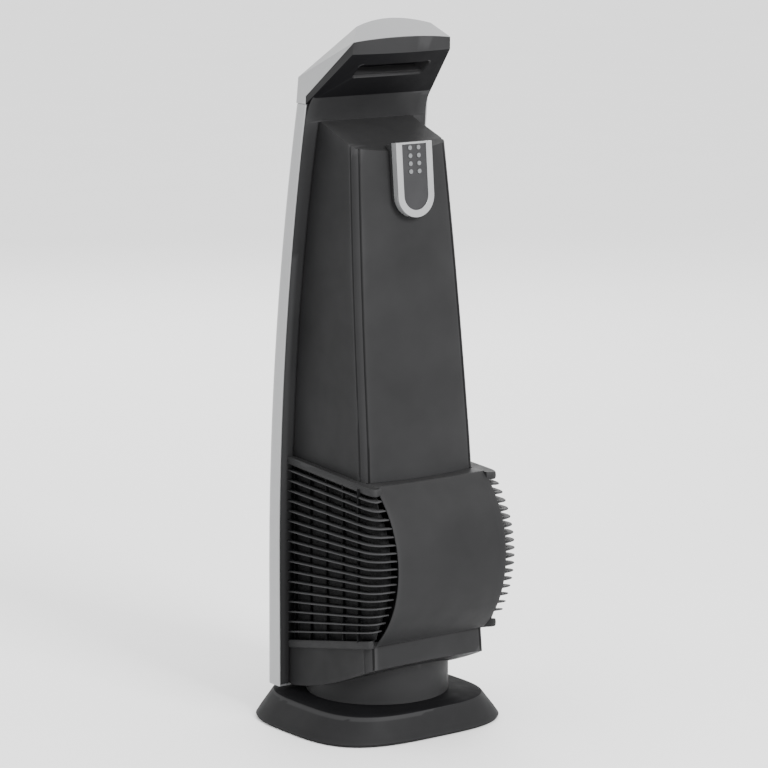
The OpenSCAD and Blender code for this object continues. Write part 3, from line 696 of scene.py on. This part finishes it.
def build_rim():
    top = ROOF_FRONT_Z - 1
    levels = spread(SHELL_BOTTOM + 2.8, top, 44)
    s = Shape()
    for side in (1, -1):
        s.grid([[Vector((side * p.x, p.y, p.z)) for p in rim_outline(z)] for z in levels])
    neck = []
    x = rim_outline(top)[3].x
    for z in spread(top, SEAM_Z, 6):
        edge = rim_outline(z)[:2]
        middle = level([(lerp(x, -x, u), rim_at(z)) for u in steps(10)], z)
        neck.append(edge + middle + [Vector((-p.x, p.y, p.z)) for p in reversed(edge)])
    s.grid(neck)
    obj = s.object("rear_rim_plate", inside=(0, -200, 400))
    thicken(obj, 1.2)
    soften(obj, 0.5)
    settle(obj, "tower", CHARCOAL, "charcoal_shell")


# ---- front shell ----

BEZEL_CORNER = 10
BEZEL_OPEN_FROM = 16  # the outlet's first column in the bezel's outline
BEZEL_OPEN_ROW = 3  # and its first row


def bezel_outline(z):
    """Front shell on the +X side at a height, from the rim to the centre of the bowed front."""
    b, front, rim = half_at(z), front_at(z), rim_at(z)
    start, edge = b - BEZEL_CORNER, b - OUTLET_MARGIN
    side = level([(b, y) for y in spread(rim, front + 6, 4)], z)
    corner = bezier(side[-1], Vector((b, front - 3.4, z)), Vector((start, face_y(z, start), z)), 8)[1:]
    flat = level([(x, face_y(z, x)) for x in spread(start, edge, 4)[1:]], z)
    middle = level([(x, face_y(z, x)) for x in spread(edge, 0, 10)[1:]], z)
    return side + corner + flat + middle


def build_bezel():
    levels = [SHELL_BOTTOM, 48, 62] + spread(OUTLET_LOW, OUTLET_HIGH, 34) + [777, SEAM_Z - 0.3]
    rows = [mirrored(bezel_outline(z)) for z in levels]
    n = len(rows[0])

    def in_outlet(j, i):
        return (BEZEL_OPEN_ROW <= j < len(levels) - BEZEL_OPEN_ROW
                and BEZEL_OPEN_FROM <= i < n - 1 - BEZEL_OPEN_FROM)

    s = Shape().grid(rows, skip=in_outlet)
    s.fan(reversed(rows[0]))
    obj = s.object("front_bezel_shell", inside=(0, -70, 400))
    thicken(obj, WALL)
    soften(obj, 0.8)
    settle(obj, "tower", SILVER, "silver_paint", "front_bezel")


# ---- drum cover and intakes ----


def build_cover():
    rows = []
    low, high = (math.asin((z - DRUM_Z) / DRUM_R) for z in (COVER_LOW, COVER_HIGH))
    for a in spread(low, high, 56):
        z = DRUM_Z + DRUM_R * math.sin(a)
        xs = [t * cover_half(z) for t in spread(1, -1, 28)]
        rows.append(level([(x, drum_back(z, DRUM_R + DRUM_CROWN * (1 - (x / COVER_REACH) ** 2)))
                           for x in xs], z))
    rows.append([Vector((p.x, LID_Y, p.z)) for p in rows[-1]])
    obj = Shape().grid(rows).object("blower_cover_shell", inside=(0, DRUM_Y, DRUM_Z))
    thicken(obj, 2.5)
    soften(obj, 1.8, 4)
    settle(obj, "tower", CHARCOAL, "charcoal_shell", "blower_cover")


def intake_path(z, inset, past=-1):
    """Plan path of an intake at its rear height, drawn in by an inset and run past the cover's edge."""
    bow = ((z - BEND_Z) / BEND_RUN) ** 2
    a = Vector((INTAKE_X0 - inset, INTAKE_Y0, 0))
    b = Vector((BEND_X - BEND_X_DRAW * bow - inset, BEND_Y - BEND_Y_DRAW * bow - inset * 0.6, 0))
    c = Vector((cover_half(z) - past, drum_back(z) - 1 - inset, 0))
    p, q = b + (a - b) * 0.12, b + (c - b) * 0.6
    return spread(a, p, 12)[:-1] + bezier(p, b, q, 10) + [c]


def slat_rows(z0, z1, depth, thick, side, past=-1):
    """Sections of one slat: a rounded nose outside and a thin tail inside."""
    slope = (z1 - z0) / SLAT_RUN
    nose = [(1.2, 0), (0.35, 0.16), (0, 0.5), (0.35, 0.84), (1.2, 1)]
    tail = [(depth, 0.85), (depth, 0.15)]
    paths = [(intake_path(z1, inset, past), up * thick) for inset, up in nose + tail]
    turn = math.cos(math.atan(slope))
    rows = []
    for k in range(len(paths[0][0])):
        row = []
        for path, up in paths:
            run = (path[k].y - INTAKE_Y0) * turn
            row.append(Vector((side * path[k].x, INTAKE_Y0 + run, z0 + run * slope + up)))
        rows.append(row)
    return rows


def add_slat(s, rows):
    s.grid(rows, close=True)
    s.fan(rows[0])
    s.fan(reversed(rows[-1]))


def build_intakes():
    for side, name in ((1, "left"), (-1, "right")):
        slats = Shape()
        for k in steps(SLATS - 1):
            z0, z1 = lerp(*SLAT_FRONT, k), lerp(*SLAT_BACK, k)
            add_slat(slats, slat_rows(z0, z1, SLAT_DEPTH, SLAT_THICK, side))
        obj = slats.object(name + "_intake_slats")
        settle(obj, "tower", SLAT, "black_trim", name + "_intake_grille")
        bars = Shape()
        for z0, z1, thick in BARS:
            add_slat(bars, slat_rows(z0, z1, BAR_DEPTH, thick, side, 3))
        ribs = Shape()
        for x, y in RIB_SPOTS:
            low = RIB_FOOT + (y - RIM_Y0) * RIB_FOOT_SLOPE
            high = RIB_HEAD - (y - RIM_Y0) * RIB_HEAD_SLOPE
            ribs.add(box_shape((side * x - 2, y, low), (side * x + 2, y + 3, high)))
        obj = bars.object(name + "_intake_frame")
        settle(soften(obj, 0.9), "tower", BLACK, "black_trim")
        obj = ribs.object(name + "_intake_ribs")
        settle(soften(obj, 0.5), "tower", RIB, "inner_plastic")
        build_screen(side, name)


def build_screen(side, name):
    """Dark woven sheet close behind the slats: painted shade that hides the see-through into the intake."""
    rows = []
    for k in spread(-0.06, 1.06, 12):
        z0, z1 = lerp(*SLAT_FRONT, k), lerp(*SLAT_BACK, k)
        slope = (z1 - z0) / SLAT_RUN
        rows.append([Vector((side * p.x, p.y, z0 + (p.y - INTAKE_Y0) * slope))
                     for p in intake_path(z1, SLAT_DEPTH + 1)])
    obj = Shape().grid(rows).object(name + "_intake_screen")
    settle(thicken(obj, 0.6, 0), "tower", SCREEN, "inner_plastic")


# the dark lining behind the filters
LINING_X, LINING_EDGE_X = 71, 104
LINING_FRONT, LINING_BACK = -66, 106
LINING_LOW, LINING_HIGH, LINING_TOP = 98, 326, 345


def build_plenum():
    """Dark lining behind the filters, so that the drum's inside stays unlit."""
    s = Shape()
    for side in (-1, 1):
        wall = []
        for z in spread(LINING_LOW, LINING_HIGH, 24):
            back = max(LINING_BACK, drum_back(z, DRUM_R - 4))
            wall.append([(side * LINING_X, y, z) for y in spread(LINING_FRONT, back, 10)])
        s.grid(wall)
        s.grid([[(side * x, LINING_FRONT, z) for x in spread(LINING_X, LINING_EDGE_X, 4)]
                for z in spread(LINING_LOW, LINING_TOP, 8)])
    obj = s.object("intake_lining")
    thicken(obj, 1, 0)
    settle(soften(obj, 0.2), "tower", INNER, "inner_plastic")


# ---- base and collar ----

RING = 128  # points round each ring
BASE_HALF = (BASE_CORNER.x, BASE_CORNER.y)
RIDGE_HALF = (119.5, 116)
SQUARENESS = 3.3
DECK_Z = 34.4  # level faces above it get the deck's painted shade, a darker material
DECK_HOLE_R = 80
# how far from the foot's outline to the ridge's, growth of both, and height
BASE_PROFILE = [(0, 0.99, 1), (0, 1, 4), (0.28, 1, 13), (0.66, 1, 24), (1, 1, 34), (1.12, 1, 35),
                (2.35, 1, 38)]
COLLAR_BOTTOM = 38.8
# the collar's inside from its bearing out to its lower rim: radius and height
COLLAR_INSIDE = ((14.2, 41.6), (14.2, 18.7), (22, 18.7), (22, COLLAR_BOTTOM), (COLLAR_R - 4, COLLAR_BOTTOM))


def pad_ring(hx, hy, z):
    """A rounded square outline with given half widths."""
    ring = []
    for c, s in circle(1, RING):
        k = (abs(c) ** SQUARENESS + abs(s) ** SQUARENESS) ** (-1 / SQUARENESS)
        ring.append(Vector((hx * c * k, hy * s * k, z)))
    return ring


def build_base():
    profile = []
    for a, b in zip(BASE_PROFILE, BASE_PROFILE[1:]):
        profile += [tuple(lerp(p, q, t) for p, q in zip(a, b)) for t in (0, 0.25, 0.5, 0.75)]
    profile.append(BASE_PROFILE[-1])
    rings = []
    for reach, grow, z in profile:
        hx = lerp(BASE_HALF[0], RIDGE_HALF[0], reach) * grow
        hy = lerp(BASE_HALF[1], RIDGE_HALF[1], reach) * grow
        rings.append(pad_ring(hx, hy, z))
    rings.append(level(circle(DECK_HOLE_R, RING), BASE_PROFILE[-1][2]))
    obj = Shape().grid(rings, close=True).object("base_skirt", inside=(0, 0, 10))
    thicken(obj, 3)
    soften(obj, 1.6, 4, 22)
    settle(obj, "base", BASE_SKIN, "charcoal_shell", "base_shell")
    # Level faces above the deck height get the darker material: painted shade.
    second_material(obj, BASE_DECK_SHADE, lambda face: face.center.z > DECK_Z * MM and face.normal.z > 0.5)


def build_collar():
    rings = [level(circle(r, RING), z) for r, z in COLLAR_INSIDE]
    for t in steps(8):
        rings.append([Vector((x, y, lerp(COLLAR_BOTTOM, underside_z(y) - 0.2, t)))
                      for x, y in circle(COLLAR_R, RING)])
    obj = Shape().grid(rings, close=True).object("swivel_collar", inside=(0, 0, 60))
    thicken(obj, 2.6)
    soften(obj, 0.8)
    settle(obj, "tower", CHARCOAL, "charcoal_shell", "swivel_hub")


# ---- hood ----

PARTING = Vector((0, -19.5, 800))
PARTING_SLOPE = Vector((0, 71.5, 69))
PANEL_HALF = (38.3, 29.3)
GRIP_HALF = (54, 13.5)
GRIP_CORNER = 5
GRIP_DEPTH = 13
BEAD_R, BEAD_OUT = 1.2, 0.8
HOOD_FOOT_HALF = 95
# the hood's cross rows: half width, then y and z at the sides, each with its bow in the middle
HOOD_ROWS = (
    (57, 34.5, -8, 887, 8),
    (74, 52.5, 6, 870, 3),
    (75, 51, 6, 854.5, -0.5),
    (93, -38.5, -11.5, 822, -1),
    (HOOD_FOOT_HALF, -40, -11, SEAM_Z, 0),
)


def hood_points():
    points = []
    for t in spread(-1, 1, 16):
        c = 1 - t * t
        points += [(half * t, y + y_bow * c, z + z_bow * c) for half, y, y_bow, z, z_bow in HOOD_ROWS]
    for side in (-HOOD_FOOT_HALF, HOOD_FOOT_HALF):
        points += [(side, PARTING.y, PARTING.z), (side, rim_at(SEAM_Z), SEAM_Z)]
    return [Vector(p) for p in points]


def hood_hull():
    """The hood's closed outer form with its open foot."""
    bm = bmesh.new()
    for p in hood_points():
        bm.verts.new(p * MM)
    bmesh.ops.convex_hull(bm, input=list(bm.verts))
    bmesh.ops.delete(bm, geom=[v for v in bm.verts if not v.link_faces], context="VERTS")
    foot = [f for f in bm.faces if f.normal.z < -0.98]
    bmesh.ops.delete(bm, geom=foot, context="FACES_ONLY")
    return bm


def join_quads(bm):
    """Joins the hull's triangles, so that the bowed faces shade smoothly."""
    bmesh.ops.join_triangles(bm, faces=list(bm.faces), angle_face_threshold=math.radians(12),
                             angle_shape_threshold=math.radians(75))


def dissolve_flat(bm):
    """Makes one face of what lies in one plane."""
    bmesh.ops.dissolve_limit(bm, angle_limit=math.radians(0.3), verts=bm.verts, edges=bm.edges)


def keep_side(bm, point, normal):
    """Cuts along a plane and keeps the side that the normal points to."""
    geometry = list(bm.verts) + list(bm.edges) + list(bm.faces)
    bmesh.ops.bisect_plane(bm, geom=geometry, plane_co=point * MM, plane_no=normal,
                           clear_inner=True, dist=CUT_TOLERANCE)


def cut_window(bm, place, outline, facing):
    """Opens a convex window, given in a tilted local frame, in the faces that look its way."""
    origin, turn = local_frame(place)
    look = turn @ Vector((0, 0, facing))

    def candidates():
        return [f for f in bm.faces if f.normal.dot(look) > 0.6]

    edges = []
    for start, end in zip(outline, outline[1:] + outline[:1]):
        a, b = Vector(start), Vector(end)
        along = (b - a).normalized()
        outward = Vector((along.y, -along.x, 0))
        edges.append((origin + turn @ Vector((a.x, a.y, 0)), turn @ outward))
    for point, outward in edges:
        faces = candidates()
        geometry = (faces + list(dict.fromkeys(e for f in faces for e in f.edges))
                    + list(dict.fromkeys(v for f in faces for v in f.verts)))
        bmesh.ops.bisect_plane(bm, geom=geometry, plane_co=point * MM, plane_no=outward,
                               dist=CUT_TOLERANCE)
    inside = [f for f in candidates()
              if all((f.calc_center_median() - p * MM).dot(out) < 1e-6 for p, out in edges)]
    rim = list(dict.fromkeys(e for f in inside for e in f.edges))
    bmesh.ops.delete(bm, geom=inside, context="FACES")
    return [e for e in rim if e.is_valid and e.is_boundary]


def sink(bm, edges, place, depth, shrink):
    """Draws a window's rim into the body as a closed pocket."""
    origin, turn = local_frame(place)
    follow = {e.link_loops[0].vert: e.link_loops[0].link_loop_next.vert for e in edges}
    rim = [edges[0].link_loops[0].vert]
    while len(rim) < len(follow):
        rim.append(follow[rim[-1]])
    deep = []
    for v in rim:
        local = turn.inverted() @ (v.co / MM - origin)
        local = Vector((local.x * shrink, local.y * shrink, depth))
        deep.append(bm.verts.new((origin + turn @ local) * MM))
    for i in range(len(rim)):
        bm.faces.new((rim[i], rim[i - 1], deep[i - 1], deep[i]))
    bm.faces.new(deep[::-1])
    bm.normal_update()


def rounded_rect(hx, hy, r, n=5):
    """Outline of a rectangle with n steps round each corner."""
    points = []
    for cx, cy, start in ((hx - r, hy - r, 0), (r - hx, hy - r, 90),
                          (r - hx, r - hy, 180), (hx - r, r - hy, 270)):
        for t in steps(n):
            a = math.radians(start + 90 * t)
            points.append((cx + r * math.cos(a), cy + r * math.sin(a)))
    return points


def bm_object(bm, name):
    bmesh.ops.remove_doubles(bm, verts=bm.verts, dist=MERGE_DISTANCE)
    bmesh.ops.recalc_face_normals(bm, faces=bm.faces)
    for f in bm.faces:
        f.smooth = True
    mesh = bpy.data.meshes.new(name)
    bm.to_mesh(mesh)
    bm.free()
    return link_object(name, mesh)


def build_cap(above, ahead):
    """The silver cap: all of the hood above its parting line and ahead of the neck."""
    cap = hood_hull()
    join_quads(cap)
    keep_side(cap, PARTING, above)
    lower = hood_hull()
    join_quads(lower)
    keep_side(lower, PARTING, -above)
    keep_side(lower, PARTING, ahead)
    mesh = bpy.data.meshes.new("lower")
    lower.to_mesh(mesh)
    lower.free()
    cap.from_mesh(mesh)
    bpy.data.meshes.remove(mesh)
    bmesh.ops.remove_doubles(cap, verts=cap.verts, dist=MERGE_DISTANCE)
    hx, hy = PANEL_HALF
    cut_window(cap, PANEL_PLACE, [(hx, -hy), (hx, hy), (-hx, hy), (-hx, -hy)], 1)
    obj = thicken(bm_object(cap, "hood_cap_shell"), 2.5)
    settle(soften(obj, 1.3), "tower", SILVER, "silver_paint", "hood_cap")


def build_liner(above, ahead):
    """The dark liner under the cap, with the finger recess."""
    liner = hood_hull()
    keep_side(liner, PARTING, -above)
    keep_side(liner, PARTING, -ahead)
    grip = cut_window(liner, GRIP_PLACE, rounded_rect(*GRIP_HALF, GRIP_CORNER), -1)
    sink(liner, grip, GRIP_PLACE, GRIP_DEPTH, 0.96)
    dissolve_flat(liner)
    obj = thicken(bm_object(liner, "hood_liner_shell"), 2.5)
    settle(soften(obj, 1.3), "tower", CHARCOAL, "charcoal_shell", "hood_liner")
    # Down-facing faces of the liner get the darker material: painted shade.
    second_material(obj, UNDERSIDE, lambda face: face.normal.z < -0.3)


def build_bead():
    """A thin round bead along the finger recess's rim."""
    outline = rounded_rect(*(half + BEAD_OUT for half in GRIP_HALF), GRIP_CORNER + BEAD_OUT, 8)
    rows = []
    for i, (x, y) in enumerate(outline):
        before, after = Vector(outline[i - 1]), Vector(outline[(i + 1) % len(outline)])
        along = (after - before).normalized()
        out = Vector((along.y, -along.x))
        row = []
        for a in spread(0, math.tau, 10)[:-1]:
            reach, rise = BEAD_R * math.cos(a), BEAD_R * math.sin(a)
            row.append(Vector((x + out.x * reach, y + out.y * reach, rise)))
        rows.append(row)
    s = Shape().grid(rows + rows[:1], close=True)
    obj = s.placed(GRIP_PLACE).object("hood_grip_bead")
    settle(obj, "tower", BLACK, "black_trim")


def build_hood():
    above = Vector((0, -PARTING_SLOPE.z, PARTING_SLOPE.y)).normalized()
    ahead = Vector((0, -1, 0.06)).normalized()
    build_cap(above, ahead)
    build_liner(above, ahead)
    build_bead()


NECK_LOW = 768
HOOD_NARROWING, HOOD_RUN = 20, 70.5  # how much the hood's half width shrinks over its run


def build_neck():
    """The fillet that carries the neck up into the hood's underside."""
    low = Vector((0, rim_at(NECK_LOW) + 0.15, NECK_LOW))
    path = bezier(low, Vector((0, PARTING.y + 0.1, PARTING.z - 2)), Vector((0, 20, 828.4)), 20)
    rows = []
    for p in path:
        hood_half = HOOD_FOOT_HALF - HOOD_NARROWING * (p.y - PARTING.y) / HOOD_RUN
        x = min(half_at(p.z) - WALL - 0.6, hood_half - 1.2)
        rows.append([Vector((x * t, p.y, p.z)) for t in spread(1, -1, 12)])
    s = Shape().grid(rows)
    for side in (0, -1):
        edge = [row[side] for row in rows]
        hem = [Vector((p.x * 0.995, PARTING.y + 3 if p.z > PARTING.z else p.y - 0.4, p.z)) for p in edge]
        s.grid([edge, hem])
    obj = s.object("hood_neck_fillet", inside=(0, -40, 840))
    soften(obj, 0.6, 2)
    settle(obj, "tower", CHARCOAL, "charcoal_shell")


# ---- CAD nodes shown with rounded edges ----

SOFT_NODES = {"front_grille": 0.5, "control_panel": 0.5, "remote_body": 1.2, "remote_dock": 0.5,
              "remote_face": 0.3}


def soften_nodes():
    """Rounds the edges of the CAD nodes that are shown as they are."""
    for name, width in SOFT_NODES.items():
        node = frame["nodes"][name]
        weld = node.modifiers.new("weld", "WELD")
        weld.merge_threshold = 0.01 * MM
        flat = node.modifiers.new("flat", "DECIMATE")
        flat.decimate_type = "DISSOLVE"
        flat.angle_limit = math.radians(0.4)
        soften(node, width, 3, 24)


make_camera()
make_studio()
dress_nodes()
soften_nodes()
build_column()
build_rim()
build_bezel()
build_cover()
build_intakes()
build_plenum()
build_base()
build_collar()
build_hood()
build_neck()
